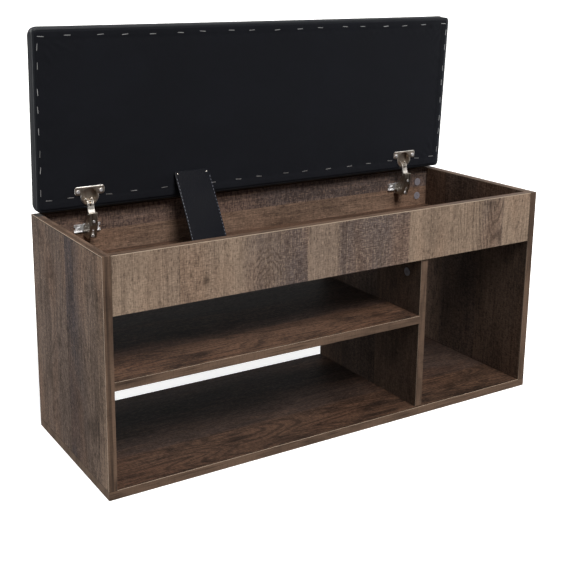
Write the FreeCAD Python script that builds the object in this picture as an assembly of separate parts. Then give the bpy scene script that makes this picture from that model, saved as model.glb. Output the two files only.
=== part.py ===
import FreeCAD, Part
import math
import os

# Flip-top entryway shoe bench: a board cabinet with three open cubbies and a storage compartment
# under a padded seat lid. The lid stands open on two concealed cup hinges, held by a wide strap.
# Millimetres, +Z up, +X to the right, front towards -Y. Origin: centre of the base's underside.

# Driving dimensions of the cabinet
WIDTH = 1000.0
DEPTH = 350.0
BOARD = 16.0                 # thickness of every cabinet board
LOWER_CUBBY = 184.0          # clear height below the middle shelf
UPPER_CUBBY = 120.0          # clear height above the middle shelf
RAIL_HEIGHT = 106.0          # apron and back rail
DIVIDER_OFFSET = 692.0       # left outer face to the divider's left face
APRON_SETBACK = 0.5
SHELF_SETBACK = 3.0
DIVIDER_SETBACK = 5.0
BAND = 1.0                   # edge band thickness

# Driving dimensions of the lid
LID_THICKNESS = 42.0
LID_CORNER = 9.0             # plan corner radius
LID_EDGE_ROUND = 7.0         # rounding of the seat's upper edge
LINING = 0.8
COVER = 1.0                  # leatherette thickness
LID_BOARD = 15.0
COVER_FOLD = 32.0            # width of cover turned under the board
LID_GAP = 2.5                # closed lid's underside above the rim
OPEN_LEAN = 2.5              # forward lean of the open lid, degrees
OPEN_CORNER = (139.0, 449.0)  # Y, Z of the open lid's lower inner edge

# Driving dimensions of the hinges
HINGE_INSET = 107.0          # end of the cabinet to the hinge's centre plane
CUP_CENTRE = 24.5            # lid's rear edge to the cup's centre
CUP_RADIUS = 17.4
CUP_WALL = 1.2
CUP_DEPTH = 11.5
FLANGE = 1.0                 # thickness of the cup's flange
OUTER_ARM_PIVOT = (129.0, 438.0)   # Y, Z of the outer link's pivot on the arm
INNER_ARM_PIVOT = (128.0, 420.0)   # Y, Z of the inner link's pivot on the arm
OUTER_CUP_HEIGHT = 5.0       # outer link's cup pivot above the lid's underside
INNER_CUP_HEIGHT = 2.5       # inner link's cup pivot above the lid's underside
PIN_RADIUS = 1.2
PIN_HOLE = 1.25
LOOSE_PIN = 1.0              # pin at the inner link's loose end
LOOSE_HOLE = 3.0             # and its hole, wide enough for the link's drift
PLATE_DROP = 37.0            # rim to the mounting plate's screws
PLATE_SCREW_SPACING = 32.0
PLATE_SCREW_LENGTH = 15.5
CUP_SCREW_SPACING = 48.0
ARM_WEB_TOP = (120.0, 417.0)   # Y, Z of the arm web's front face where it turns upright
ARM_WEB_FOOT = (129.6, 390.5)  # and at its lower end
ARM_WEB = 1.3                # thickness of the arm's web
ARM_NOSE_Z = 441.0           # middle of the roll along the web's upper edge
RIVET_Z = 425.0              # small rivet in the web's upright part
RIVET_RADIUS = 1.5
FIXING_SCREW_Z = 395.0       # arm's fixing screw on the web's front face
FIXING_SCREW_RADIUS = 1.7
ADJUSTING_SCREW_Z = 404.4
ADJUSTING_SCREW_RADIUS = 1.9

# Driving dimensions of the stay strap
STRAP_X = (-210.0, -130.0)
STRAP_THICKNESS = 2.4
STRAP_FOOT_Y = 47.0          # where the strap meets the compartment floor
STRAP_TOP_S = 55.0           # where it meets the lid, measured from the lid's rear edge
STRAP_SCREW_LENGTH = 13.0

# Fasteners
CAM_RADIUS = 7.5
CAM_DEPTH = 12.3
CAM_INSET = 28.0
COVER_CAP_RADIUS = 8.7
COVER_CAP_PROUD = 1.0
CAP_DIMPLE = 0.5              # depth of the round dimple in a cap's middle
BOLT_RADIUS = 3.0
DOWEL_RADIUS = 4.0
SCREW_RADIUS = 3.5
SMALL_SCREW_RADIUS = 2.0     # shanks of the hinge plates' and the strap's screws
FIT = 0.1                    # clearance of a fastener in its hole
FACE_BITE = 11.0             # how deep a fastener enters a board's face
EDGE_BITE = 19.0             # how deep a dowel enters a board's edge

# Levels and faces that follow from the above
LEFT = -WIDTH / 2
RIGHT = WIDTH / 2
FRONT = -DEPTH / 2
BACK = DEPTH / 2
SHELF_Z = BOARD + LOWER_CUBBY
FLOOR_Z = SHELF_Z + BOARD + UPPER_CUBBY
HEIGHT = FLOOR_Z + RAIL_HEIGHT
FLOOR_TOP = FLOOR_Z + BOARD
INNER_LEFT = LEFT + BOARD
INNER_RIGHT = RIGHT - BOARD
DIVIDER_X = LEFT + DIVIDER_OFFSET
APRON_Y = FRONT + APRON_SETBACK
APRON_BACK = APRON_Y + BOARD
RAIL_Y = BACK - BOARD
LID_Z = HEIGHT + LID_GAP
LID_TURN = 90.0 - OPEN_LEAN
BOARD_H = LINING + COVER
FOAM_H = BOARD_H + LID_BOARD
CUP_Y = BACK - CUP_CENTRE
HINGES = {"left": LEFT + HINGE_INSET, "right": RIGHT - HINGE_INSET}
SIDES = {"left": (INNER_LEFT, -1.0), "right": (INNER_RIGHT, 1.0)}

X = FreeCAD.Vector(1, 0, 0)
Y = FreeCAD.Vector(0, 1, 0)
Z = FreeCAD.Vector(0, 0, 1)


def box(x, y, z):
    """A block between pairs of X, Y and Z."""
    return Part.makeBox(x[1] - x[0], y[1] - y[0], z[1] - z[0], FreeCAD.Vector(x[0], y[0], z[0]))


def rod(start, direction, length, radius):
    """A round rod from a point along a direction."""
    return Part.makeCylinder(radius, length, FreeCAD.Vector(*start), direction)


def cross_rod(centre, x, radius):
    """A rod along X between two X values, centred on a (Y, Z) point."""
    return rod((x[0], centre[0], centre[1]), X, x[1] - x[0], radius)


def side_plate(points, x):
    """A plate between two X values, cut to an outline of (Y, Z) points."""
    corners = [FreeCAD.Vector(x[0], y, z) for y, z in points]
    face = Part.Face(Part.makePolygon(corners + corners[:1]))
    return face.extrude(X * (x[1] - x[0]))


def joined(shapes):
    """One solid from shapes that overlap."""
    whole = shapes[0]
    for shape in shapes[1:]:
        whole = whole.fuse(shape)
    return whole.removeSplitter()


def export(name, *solids):
    """Write one node, checking that it is made of sound closed solids."""
    shape = solids[0] if len(solids) == 1 else Part.makeCompound(list(solids))
    if not shape.isValid() or not shape.Solids:
        raise ValueError(name + " is not a sound solid")
    shape.exportStep("parts/" + name + ".step")


# ---------------------------------------------------------------- fasteners

class Fittings:
    """Collects the cabinet's fasteners and the holes that they need."""

    def __init__(self):
        self.cams = []
        self.caps = []
        self.bolts = []
        self.dowels = []
        self.screws = []
        self.holes = []

    def cam(self, on_face, into_board, along, to_end):
        """A cam disc let into a face, its cap, and its bolt into the next board."""
        disc = rod(on_face, into_board, CAM_DEPTH, CAM_RADIUS)
        self.cams.append(disc)
        self.holes.append(rod(on_face, into_board, CAM_DEPTH + FIT, CAM_RADIUS + FIT))
        cap = rod(on_face, into_board * -1, COVER_CAP_PROUD, COVER_CAP_RADIUS)
        dimple_at = FreeCAD.Vector(*on_face) - into_board * (COVER_CAP_PROUD - CAP_DIMPLE)
        self.caps.append(cap.cut(rod(dimple_at, into_board * -1, COVER_CAP_PROUD, 2.2)))
        middle = FreeCAD.Vector(*on_face) + into_board * (BOARD / 2)
        clear_of_disc = CAM_RADIUS + FIT
        reach = to_end + FACE_BITE
        self.bolts.append(rod(middle + along * clear_of_disc, along, reach - clear_of_disc, BOLT_RADIUS))
        self.holes.append(rod(middle, along, reach + FIT, BOLT_RADIUS + FIT))

    def dowel(self, at_joint, along):
        """A wooden dowel across a joint, running from a board's edge into a face."""
        start = FreeCAD.Vector(*at_joint) - along * EDGE_BITE
        length = EDGE_BITE + FACE_BITE
        self.dowels.append(rod(start, along, length, DOWEL_RADIUS))
        self.holes.append(rod(start - along * FIT, along, length + 2 * FIT, DOWEL_RADIUS + FIT))

    def base_screw(self, x, y):
        """A screw up through the base into an upright, its head let into the underside."""
        head = rod((x, y, 1.0), Z, 4.0, 5.0)
        shank = rod((x, y, 1.0), Z, 50.0, SCREW_RADIUS)
        self.screws.append(joined([head, shank]))
        self.holes.append(rod((x, y, 0), Z, 5.0 + FIT, 5.0 + FIT))
        self.holes.append(rod((x, y, 0), Z, 51.0 + FIT, SCREW_RADIUS + FIT))


def cabinet_fittings():
    """Every cam, dowel and screw in the cabinet."""
    fit = Fittings()
    rail_cam_z = (HEIGHT - 33.0, HEIGHT - 67.0)
    rail_dowel_z = HEIGHT - 90.0
    pair_y = (-100.0, 100.0)
    for inner_x, outward in SIDES.values():
        cam_x = inner_x - outward * CAM_INSET
        along = X * outward
        for face_y, into in ((APRON_BACK, Y * -1), (RAIL_Y, Y)):
            middle_y = face_y + into.y * BOARD / 2
            for z in rail_cam_z:
                fit.cam((cam_x, face_y, z), into, along, CAM_INSET)
            fit.dowel((inner_x, middle_y, rail_dowel_z), along)
        for y in pair_y:
            fit.cam((cam_x, y, FLOOR_Z), Z, along, CAM_INSET)
        fit.dowel((inner_x, 0, FLOOR_Z + BOARD / 2), along)
    for end_x, outward in ((INNER_LEFT, -1.0), (DIVIDER_X, 1.0)):
        for y in pair_y:
            fit.cam((end_x - outward * CAM_INSET, y, SHELF_Z), Z, X * outward, CAM_INSET)
        fit.dowel((end_x, 0, SHELF_Z + BOARD / 2), X * outward)
    for x in (-300.0, 0.0, 300.0):
        fit.dowel((x, APRON_BACK, FLOOR_Z + BOARD / 2), Y * -1)
        fit.dowel((x, RAIL_Y, FLOOR_Z + BOARD / 2), Y)
    for y in (-127.0, 127.0):
        fit.cam((DIVIDER_X, y, FLOOR_Z - 37.0), X, Z, 37.0)
    fit.dowel((DIVIDER_X + BOARD / 2, 0, FLOOR_Z), Z)
    for x in (LEFT + BOARD / 2, DIVIDER_X + BOARD / 2, RIGHT - BOARD / 2):
        for y in (-120.0, 120.0):
            fit.base_screw(x, y)
        fit.dowel((x, 0, BOARD), Z * -1)
    return fit


# ---------------------------------------------------------------- cabinet boards

def cabinet_boards():
    """The eight boards, before any hole is bored."""
    inside = (INNER_LEFT, INNER_RIGHT)
    front = FRONT + BAND
    return {
        "base_panel": box((LEFT, RIGHT), (front, BACK), (0, BOARD)),
        "left_side_panel": box((LEFT, INNER_LEFT), (front, BACK), (BOARD, HEIGHT - BAND)),
        "right_side_panel": box((INNER_RIGHT, RIGHT), (front, BACK), (BOARD, HEIGHT - BAND)),
        "apron_rail": box(inside, (APRON_Y, APRON_BACK), (FLOOR_Z, HEIGHT - BAND)),
        "back_rail": box(inside, (RAIL_Y, BACK), (FLOOR_Z, HEIGHT - BAND)),
        "compartment_floor": box(inside, (APRON_BACK, RAIL_Y), (FLOOR_Z, FLOOR_TOP)),
        "divider_panel": box((DIVIDER_X, DIVIDER_X + BOARD),
                             (FRONT + DIVIDER_SETBACK + BAND, BACK), (BOARD, FLOOR_Z)),
        "middle_shelf": box((INNER_LEFT, DIVIDER_X),
                            (FRONT + SHELF_SETBACK + BAND, BACK), (SHELF_Z, SHELF_Z + BOARD)),
    }


def edge_bands():
    """Thin strips glued on the boards' visible edges."""
    front = (FRONT, FRONT + BAND)
    top = (HEIGHT - BAND, HEIGHT)
    divider_front = (FRONT + DIVIDER_SETBACK, FRONT + DIVIDER_SETBACK + BAND)
    shelf_front = (FRONT + SHELF_SETBACK, FRONT + SHELF_SETBACK + BAND)
    bands = {
        "base_edge_band": [box((LEFT, RIGHT), front, (0, BOARD))],
        "divider_edge_band": [box((DIVIDER_X, DIVIDER_X + BOARD), divider_front, (BOARD, FLOOR_Z))],
        "shelf_edge_band": [box((INNER_LEFT, DIVIDER_X), shelf_front, (SHELF_Z, SHELF_Z + BOARD))],
        "apron_top_band": [box((INNER_LEFT, INNER_RIGHT), (APRON_Y, APRON_BACK), top)],
        "back_rail_top_band": [box((INNER_LEFT, INNER_RIGHT), (RAIL_Y, BACK), top)],
    }
    for side, x in (("left", (LEFT, INNER_LEFT)), ("right", (INNER_RIGHT, RIGHT))):
        upright = box(x, front, (BOARD, HEIGHT))
        along_top = box(x, (FRONT + BAND, BACK), top)
        bands[side + "_side_edge_bands"] = [upright, along_top]
    return bands


def pilot_holes():
    """Holes in the back rail and the compartment floor for the small screws."""
    radius = SMALL_SCREW_RADIUS + FIT / 2
    holes = []
    for x in HINGES.values():
        for offset in (-PLATE_SCREW_SPACING / 2, PLATE_SCREW_SPACING / 2):
            start = (x + offset, RAIL_Y - 1.0, HEIGHT - PLATE_DROP)
            holes.append(rod(start, Y, PLATE_SCREW_LENGTH - 1.0, radius))
    for x in strap_screw_x():
        start = (x, strap_screw_y(), FLOOR_TOP + 1.0)
        holes.append(rod(start, Z * -1, STRAP_SCREW_LENGTH - 1.0, radius))
    return holes


def export_cabinet():
    """Boards with their holes, the edge bands and all the fasteners."""
    fit = cabinet_fittings()
    holes = Part.makeCompound(fit.holes + pilot_holes())
    for name, board in cabinet_boards().items():
        export(name, board.cut(holes))
    for name, strips in edge_bands().items():
        export(name, *strips)
    export("cam_lock_discs", *fit.cams)
    export("cam_cover_caps", *fit.caps)
    export("cam_bolts", *fit.bolts)
    export("joint_dowels", *fit.dowels)
    export("base_screws", *fit.screws)


# ---------------------------------------------------------------- lid

def pole():
    """The (Y, Z) point about which one plain turn takes the open lid to the closed lid."""
    turn = math.radians(LID_TURN)
    half_cotangent = 0.5 / math.tan(turn / 2)
    move_y = BACK - OPEN_CORNER[0]
    move_z = LID_Z - OPEN_CORNER[1]
    y = (BACK + OPEN_CORNER[0]) / 2 - move_z * half_cotangent
    z = (LID_Z + OPEN_CORNER[1]) / 2 + move_y * half_cotangent
    return y, z


def opened(shape):
    """Swing a shape of the closed lid to where it stands with the lid open."""
    y, z = pole()
    return shape.rotate(FreeCAD.Vector(0, y, z), X, -LID_TURN)


def opened_point(point):
    """The same swing for one (Y, Z) point."""
    y, z = pole()
    turn = math.radians(-LID_TURN)
    dy = point[0] - y
    dz = point[1] - z
    return (y + dy * math.cos(turn) - dz * math.sin(turn),
            z + dy * math.sin(turn) + dz * math.cos(turn))


def cup_pivot(arm_pivot, height):
    """Closed (Y, Z) of a cup pivot, at a height above the lid's underside.

    Seen from the pole, it lies half the lid's turn past the arm pivot, so that it is as far from
    the arm pivot with the lid open as with the lid closed.
    """
    y, z = pole()
    angle = math.atan2(arm_pivot[1] - z, arm_pivot[0] - y) + math.radians(LID_TURN / 2)
    pivot_z = LID_Z + height
    return y + (pivot_z - z) / math.tan(angle), pivot_z


def rounded_slab(inset, h, edge_round):
    """A slab of the lid's plan, drawn in by an inset, between two heights above its underside."""
    slab = box((LEFT + inset, RIGHT - inset), (FRONT + inset, BACK - inset), (LID_Z + h[0], LID_Z + h[1]))
    corner = LID_CORNER - inset
    uprights = [edge for edge in slab.Edges if abs(edge.tangentAt(edge.FirstParameter).z) > 0.99]
    slab = slab.makeFillet(corner, uprights)
    if edge_round:
        rim = [edge for edge in slab.Edges if edge.BoundBox.ZMin > LID_Z + h[1] - 0.01]
        slab = slab.makeFillet(edge_round, rim)
    return slab


def cup_hole(x, radius, depth):
    """The bore for one hinge cup, from below the lid."""
    return rod((x, CUP_Y, LID_Z - 5.0), Z, 5.0 + depth, radius)


def screw_line_y():
    """Closed Y of the cup's two screws."""
    return CUP_Y - 9.5


def lid_board():
    board = rounded_slab(COVER, (BOARD_H, FOAM_H), 0)
    for x in HINGES.values():
        board = board.cut(cup_hole(x, CUP_RADIUS + FIT, CUP_DEPTH + FIT))
        for offset in (-CUP_SCREW_SPACING / 2, CUP_SCREW_SPACING / 2):
            pilot = rod((x + offset, screw_line_y(), LID_Z - 5.0), Z, 5.0 + 13.5, 2.0)
            board = board.cut(pilot)
    return board


def foam_pad():
    return rounded_slab(COVER, (FOAM_H, LID_THICKNESS - COVER), LID_EDGE_ROUND - COVER)


def seat_cover():
    """The leatherette skin over the foam, down the edges and folded under the board."""
    skin = rounded_slab(0, (LINING, LID_THICKNESS), LID_EDGE_ROUND)
    skin = skin.cut(rounded_slab(COVER, (BOARD_H, LID_THICKNESS - COVER), LID_EDGE_ROUND - COVER))
    window_x = (LEFT + COVER_FOLD, RIGHT - COVER_FOLD)
    window_y = (FRONT + COVER_FOLD, BACK - COVER_FOLD)
    skin = skin.cut(box(window_x, window_y, (LID_Z, LID_Z + BOARD_H)))
    for x in HINGES.values():
        skin = skin.cut(cup_hole(x, CUP_RADIUS + FIT, CUP_DEPTH))
    return skin


def underside_lining():
    inset = 5.0
    lining = rounded_slab(inset, (0, LINING), 0)
    for x in HINGES.values():
        lining = lining.cut(cup_hole(x, CUP_RADIUS + FIT, CUP_DEPTH))
        for offset in (-CUP_SCREW_SPACING / 2, CUP_SCREW_SPACING / 2):
            lining = lining.cut(rod((x + offset, screw_line_y(), LID_Z - 5.0), Z, 10.0, 2.0))
    return lining


def staple(x, y, angle):
    """One U-shaped staple, its crown proud of the lining and its legs up in the board."""
    width = 13.0
    wire = 0.9
    proud = 0.6
    legs = 7.0
    outer = box((-width / 2, width / 2), (-wire / 2, wire / 2), (-proud, legs))
    inner = box((wire - width / 2, width / 2 - wire), (-wire, wire), (0, legs + 1))
    shape = outer.cut(inner)
    shape.rotate(FreeCAD.Vector(0, 0, 0), Z, angle)
    shape.translate(FreeCAD.Vector(x, y, LID_Z))
    return shape


def staple_row(count, start, end, angle, wobble):
    """Hand-set staples from one point to another: each a little off the line and off square."""
    shapes = []
    for index in range(count):
        share = index / (count - 1)
        off_line = wobble * math.sin(5.1 * index + angle)
        off_pitch = 5.0 * math.sin(3.7 * index + 1.0) if 0 < index < count - 1 else 0
        off_square = 5.0 * math.sin(7.3 * index + 2.0)
        x = start[0] + (end[0] - start[0]) * share
        y = start[1] + (end[1] - start[1]) * share
        if angle == 0:
            shapes.append(staple(x + off_pitch, y + off_line, off_square))
        else:
            shapes.append(staple(x + off_line, y + off_pitch, angle + off_square))
    return shapes


def lining_staples():
    """Four rows round the lining: the closed lid's front, rear, left and right."""
    front_y = FRONT + 15.0
    rear_y = BACK - 23.5
    side_x = RIGHT - 8.0
    rows = staple_row(18, (LEFT + 16.0, front_y), (RIGHT - 16.0, front_y), 0, 1.2)
    for start, end, count in ((-476.0, -432.0, 2), (-352.0, 352.0, 13), (432.0, 476.0, 2)):
        rows += staple_row(count, (start, rear_y), (end, rear_y), 0, 1.0)
    for x in (-side_x, side_x):
        rows += staple_row(8, (x, FRONT + 34.0), (x, BACK - 40.0), 90.0, 1.0)
    return rows


def export_lid():
    export("lid_board", opened(lid_board()))
    export("foam_pad", opened(foam_pad()))
    export("seat_cover", opened(seat_cover()))
    export("underside_lining", opened(underside_lining()))
    export("lining_staples", *[opened(shape) for shape in lining_staples()])


# ---------------------------------------------------------------- hinges

def hinge_cup(x, outer, inner):
    """A pressed cup with its flange, two ears for the outer link and a lug for the inner link."""
    bowl = rod((x, CUP_Y, LID_Z), Z, CUP_DEPTH, CUP_RADIUS)
    ring = rod((x, CUP_Y, LID_Z - FLANGE), Z, FLANGE, CUP_RADIUS + 1.6)
    wing_y = (screw_line_y() - 10.0, screw_line_y() + 7.0)
    wings = box((x - 31.0, x + 31.0), wing_y, (LID_Z - FLANGE, LID_Z))
    corners = [edge for edge in wings.Edges if abs(edge.tangentAt(edge.FirstParameter).z) > 0.99]
    cup = joined([bowl, ring, wings.makeFillet(5.0, corners)])
    floor_z = LID_Z + CUP_DEPTH - CUP_WALL
    cup = cup.cut(rod((x, CUP_Y, LID_Z - 2.0), Z, floor_z - LID_Z + 2.0, CUP_RADIUS - CUP_WALL))
    for offset in (-CUP_SCREW_SPACING / 2, CUP_SCREW_SPACING / 2):
        cup = cup.cut(rod((x + offset, screw_line_y(), LID_Z - 2.0), Z, 4.0, 2.0))
    root = floor_z + 0.4
    reach = 2.4
    for side in (-1, 1):
        ear_x = sorted((x + side * 7.0, x + side * 8.2))
        ear = [(outer[0] - reach, root), (outer[0] + reach, root), (outer[0] + reach, outer[1] - 1.0),
               (outer[0] + 1.0, outer[1] - reach), (outer[0] - 1.0, outer[1] - reach),
               (outer[0] - reach, outer[1] - 1.0)]
        cup = cup.fuse(side_plate(ear, ear_x).cut(cross_rod(outer, ear_x, PIN_HOLE)))
    lug_x = (x - 1.8, x + 1.8)
    lug = [(inner[0] - 2.0, root), (inner[0] + 2.0, root), (inner[0] + 2.0, inner[1] - 1.0),
           (inner[0] + 0.8, inner[1] - 2.0), (inner[0] - 0.8, inner[1] - 2.0),
           (inner[0] - 2.0, inner[1] - 1.0)]
    return cup.fuse(side_plate(lug, lug_x).cut(cross_rod(inner, lug_x, PIN_HOLE)))


def pan_screw(head_centre, into, head_radius, head_height, shank_radius, length):
    """A cross-recessed pan-head screw whose head sits on a surface."""
    head = rod(head_centre, into * -1, head_height, head_radius)
    outer_rim = max(head.Edges, key=lambda edge: edge.CenterOfMass.dot(into * -1))
    head = head.makeFillet(head_height * 0.45, [outer_rim])
    shank = rod(head_centre, into, length, shank_radius)
    screw = joined([head, shank])
    recess_depth = head_height * 0.6
    recess_top = FreeCAD.Vector(*head_centre) - into * (head_height - recess_depth)
    for first, second in ((0.55, 0.14), (0.14, 0.55)):
        slot = box((-first * head_radius, first * head_radius),
                   (-second * head_radius, second * head_radius), (0, head_height))
        turn = FreeCAD.Rotation(Z, into * -1)
        slot.Placement = FreeCAD.Placement(recess_top, turn).multiply(slot.Placement)
        screw = screw.cut(slot)
    return screw


def strip(points, half_width):
    """Outline of a bent strip of constant width along a (Y, Z) centre line."""
    left = []
    right = []
    for index, point in enumerate(points):
        before = points[max(index - 1, 0)]
        after = points[min(index + 1, len(points) - 1)]
        length = math.hypot(after[0] - before[0], after[1] - before[1])
        normal = (-(after[1] - before[1]) / length, (after[0] - before[0]) / length)
        left.append((point[0] + normal[0] * half_width, point[1] + normal[1] * half_width))
        right.append((point[0] - normal[0] * half_width, point[1] - normal[1] * half_width))
    return left + right[::-1]


def outer_link(x, cup_point):
    """Two bowed cheeks joined by a web, from the arm round the lid's edge into the cup."""
    route = [OUTER_ARM_PIVOT, (133.0, 447.1), (134.8, 457.5), (137.5, 463.0), cup_point]
    link = None
    for side in (-1, 1):
        lane = sorted((x + side * 5.3, x + side * 6.5))
        cheek = side_plate(strip(route, 1.7), lane)
        for pivot in (OUTER_ARM_PIVOT, cup_point):
            cheek = cheek.fuse(cross_rod(pivot, lane, 2.6))
        link = cheek if link is None else link.fuse(cheek)
    web_route = [(y - 1.15, z) for y, z in ((130.2, 441.0), (133.0, 447.1), (134.1, 453.5))]
    link = link.fuse(side_plate(strip(web_route, 0.5), (x - 6.0, x + 6.0)))
    for pivot in (OUTER_ARM_PIVOT, cup_point):
        link = link.cut(cross_rod(pivot, (x - 8.0, x + 8.0), PIN_HOLE))
    return link


def inner_link(x, cup_point):
    """A narrower link between the outer link's cheeks, with a wide hole at its arm end."""
    route = [INNER_ARM_PIVOT, (132.6, 438.0), (135.8, 450.0), (135.6, 457.5), (136.6, 460.5), cup_point]
    link = None
    for side in (-1, 1):
        lane = sorted((x + side * 2.4, x + side * 4.0))
        cheek = side_plate(strip(route, 1.3), lane)
        cheek = cheek.fuse(cross_rod(INNER_ARM_PIVOT, lane, 4.4))
        cheek = cheek.fuse(cross_rod(cup_point, lane, 2.2))
        link = cheek if link is None else link.fuse(cheek)
    web_route = [(129.6, 426.4), (132.6, 438.0), (135.3, 448.0)]
    link = link.fuse(side_plate(strip(web_route, 0.6), (x - 3.0, x + 3.0)))
    link = link.cut(cross_rod(INNER_ARM_PIVOT, (x - 5.0, x + 5.0), LOOSE_HOLE))
    return link.cut(cross_rod(cup_point, (x - 5.0, x + 5.0), PIN_HOLE))


def web_normal():
    """Direction from the arm web's front face into the hinge."""
    rise = ARM_WEB_TOP[1] - ARM_WEB_FOOT[1]
    run = ARM_WEB_FOOT[0] - ARM_WEB_TOP[0]
    return FreeCAD.Vector(0, rise, run).normalize()


def web_point(z, depth=0.0):
    """(Y, Z) on the arm web's front face at a height, or at a depth behind it."""
    share = (ARM_WEB_TOP[1] - z) / (ARM_WEB_TOP[1] - ARM_WEB_FOOT[1])
    y = ARM_WEB_TOP[0] + (ARM_WEB_FOOT[0] - ARM_WEB_TOP[0]) * share
    into = web_normal()
    return y + into.y * depth, z + into.z * depth


def arm_screw_holes(x, radius_gap):
    """Holes for the arm's fixing screw and adjusting screw."""
    into = web_normal()
    holes = []
    for z, radius in ((FIXING_SCREW_Z, FIXING_SCREW_RADIUS), (ADJUSTING_SCREW_Z, ADJUSTING_SCREW_RADIUS)):
        y, from_z = web_point(z, -2.0)
        holes.append(rod((x, y, from_z), into, 12.0 + radius_gap, radius + radius_gap))
    return holes


def hinge_arm(x):
    """A channel: two cheeks from the link pivots to the mounting plate, with a web in front."""
    front = ARM_WEB_TOP[0]
    outline = [(front, ARM_NOSE_Z), (121.6, 442.2), (131.2, 442.2), (133.2, 440.0), (136.0, 428.0),
               (147.0, 414.0), (154.5, 411.0), (154.5, 390.5), (132.0, 388.0), ARM_WEB_FOOT, ARM_WEB_TOP]
    arm = None
    for side in (-1, 1):
        lane = sorted((x + side * 7.0, x + side * 8.2))
        cheek = side_plate(outline, lane)
        for pivot, hole in ((OUTER_ARM_PIVOT, PIN_HOLE), (INNER_ARM_PIVOT, LOOSE_PIN + 0.05)):
            cheek = cheek.cut(cross_rod(pivot, lane, hole))
        arm = cheek if arm is None else arm.fuse(cheek)
    web = side_plate([(front, ARM_NOSE_Z), (front + ARM_WEB, ARM_NOSE_Z), web_point(ARM_WEB_TOP[1], ARM_WEB),
                      web_point(ARM_WEB_FOOT[1], ARM_WEB), ARM_WEB_FOOT, ARM_WEB_TOP], (x - 8.2, x + 8.2))
    roll = cross_rod((front + 0.9, ARM_NOSE_Z), (x - 9.0, x + 9.0), 1.2)
    slot = box((x - 2.4, x + 2.4), (115.0, 135.0), (399.0, 409.5))
    rivet_hole = rod((x, front - 2.0, RIVET_Z), Y, 2.0 + ARM_WEB + 1.0, RIVET_RADIUS + 0.05)
    arm = joined([arm, web, roll])
    return arm.cut(slot).cut(rivet_hole).cut(Part.makeCompound(arm_screw_holes(x, 0.05)))


def mounting_plate(x):
    """Wings with raised rims against the back rail, and a riser that the arm straddles."""
    screw_z = HEIGHT - PLATE_DROP
    wings = box((x - 27.5, x + 27.5), (RAIL_Y - 2.5, RAIL_Y), (screw_z - 8.0, screw_z + 8.0))
    for side in (-1, 1):
        notch_x = sorted((x + side * 24.5, x + side * 30.0))
        wings = wings.cut(box(notch_x, (RAIL_Y - 3.0, RAIL_Y + 1.0), (screw_z - 2.6, screw_z + 2.6)))
        hole = rod((x + side * PLATE_SCREW_SPACING / 2, RAIL_Y - 3.0, screw_z), Y, 4.0, 2.6)
        wings = wings.cut(hole)
        rim_x = sorted((x + side * 10.0, x + side * 27.5))
        for rim_z in ((screw_z - 8.0, screw_z - 6.0), (screw_z + 6.0, screw_z + 8.0)):
            wings = wings.fuse(box(rim_x, (RAIL_Y - 4.5, RAIL_Y - 2.0), rim_z))
    riser = side_plate([(RAIL_Y, 389.5), (RAIL_Y, 414.0), (140.0, 411.8), web_point(410.0, ARM_WEB),
                        web_point(391.5, ARM_WEB)], (x - 6.6, x + 6.6))
    return joined([wings, riser]).cut(Part.makeCompound(arm_screw_holes(x, 0.05)))


def hinge_screws(x):
    """Two screws through each wing of the plate, and the arm's two screws and rivet."""
    wing = []
    for side in (-1, 1):
        at = (x + side * PLATE_SCREW_SPACING / 2, RAIL_Y - 2.5, HEIGHT - PLATE_DROP)
        wing.append(pan_screw(at, Y, 3.9, 1.8, SMALL_SCREW_RADIUS, PLATE_SCREW_LENGTH))
    fixing_at = web_point(FIXING_SCREW_Z)
    fixing = pan_screw((x, fixing_at[0], fixing_at[1]), web_normal(), 3.4, 1.6, FIXING_SCREW_RADIUS, 9.0)
    adjusting_at = web_point(ADJUSTING_SCREW_Z, 0.4)
    adjusting = rod((x, adjusting_at[0], adjusting_at[1]), web_normal(), 8.0, ADJUSTING_SCREW_RADIUS)
    rivet = pan_screw((x, ARM_WEB_TOP[0], RIVET_Z), Y, 2.9, 1.2, RIVET_RADIUS, ARM_WEB)
    return wing, [fixing, adjusting, rivet]


def export_hinges():
    """Both hinges, with the fasteners and pins that they share in common nodes."""
    outer_closed = cup_pivot(OUTER_ARM_PIVOT, OUTER_CUP_HEIGHT)
    inner_closed = cup_pivot(INNER_ARM_PIVOT, INNER_CUP_HEIGHT)
    outer_open = opened_point(outer_closed)
    inner_open = opened_point(inner_closed)
    cup_screws = []
    cup_pins = []
    arm_pins = []
    plate_screws = []
    arm_screws = []
    for side, x in HINGES.items():
        export(side + "_hinge_cup", opened(hinge_cup(x, outer_closed, inner_closed)))
        export(side + "_outer_link", outer_link(x, outer_open))
        export(side + "_inner_link", inner_link(x, inner_open))
        export(side + "_hinge_arm", hinge_arm(x))
        export(side + "_mounting_plate", mounting_plate(x))
        for offset in (-CUP_SCREW_SPACING / 2, CUP_SCREW_SPACING / 2):
            at = (x + offset, screw_line_y(), LID_Z - FLANGE)
            cup_screws.append(opened(pan_screw(at, Z, 3.8, 1.8, 1.9, 14.0)))
        cup_pins.append(cross_rod(inner_open, (x - 4.2, x + 4.2), PIN_RADIUS))
        arm_pins.append(cross_rod(INNER_ARM_PIVOT, (x - 8.6, x + 8.6), LOOSE_PIN))
        for lane in ((x - 8.6, x - 4.9), (x + 4.9, x + 8.6)):
            cup_pins.append(cross_rod(outer_open, lane, PIN_RADIUS))
            arm_pins.append(cross_rod(OUTER_ARM_PIVOT, lane, PIN_RADIUS))
        wing, arm = hinge_screws(x)
        plate_screws += wing
        arm_screws += arm
    export("hinge_cup_screws", *cup_screws)
    export("cup_link_pins", *cup_pins)
    export("arm_link_pins", *arm_pins)
    export("mounting_plate_screws", *plate_screws)
    export("arm_adjusting_screws", *arm_screws)


# ---------------------------------------------------------------- stay strap

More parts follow.
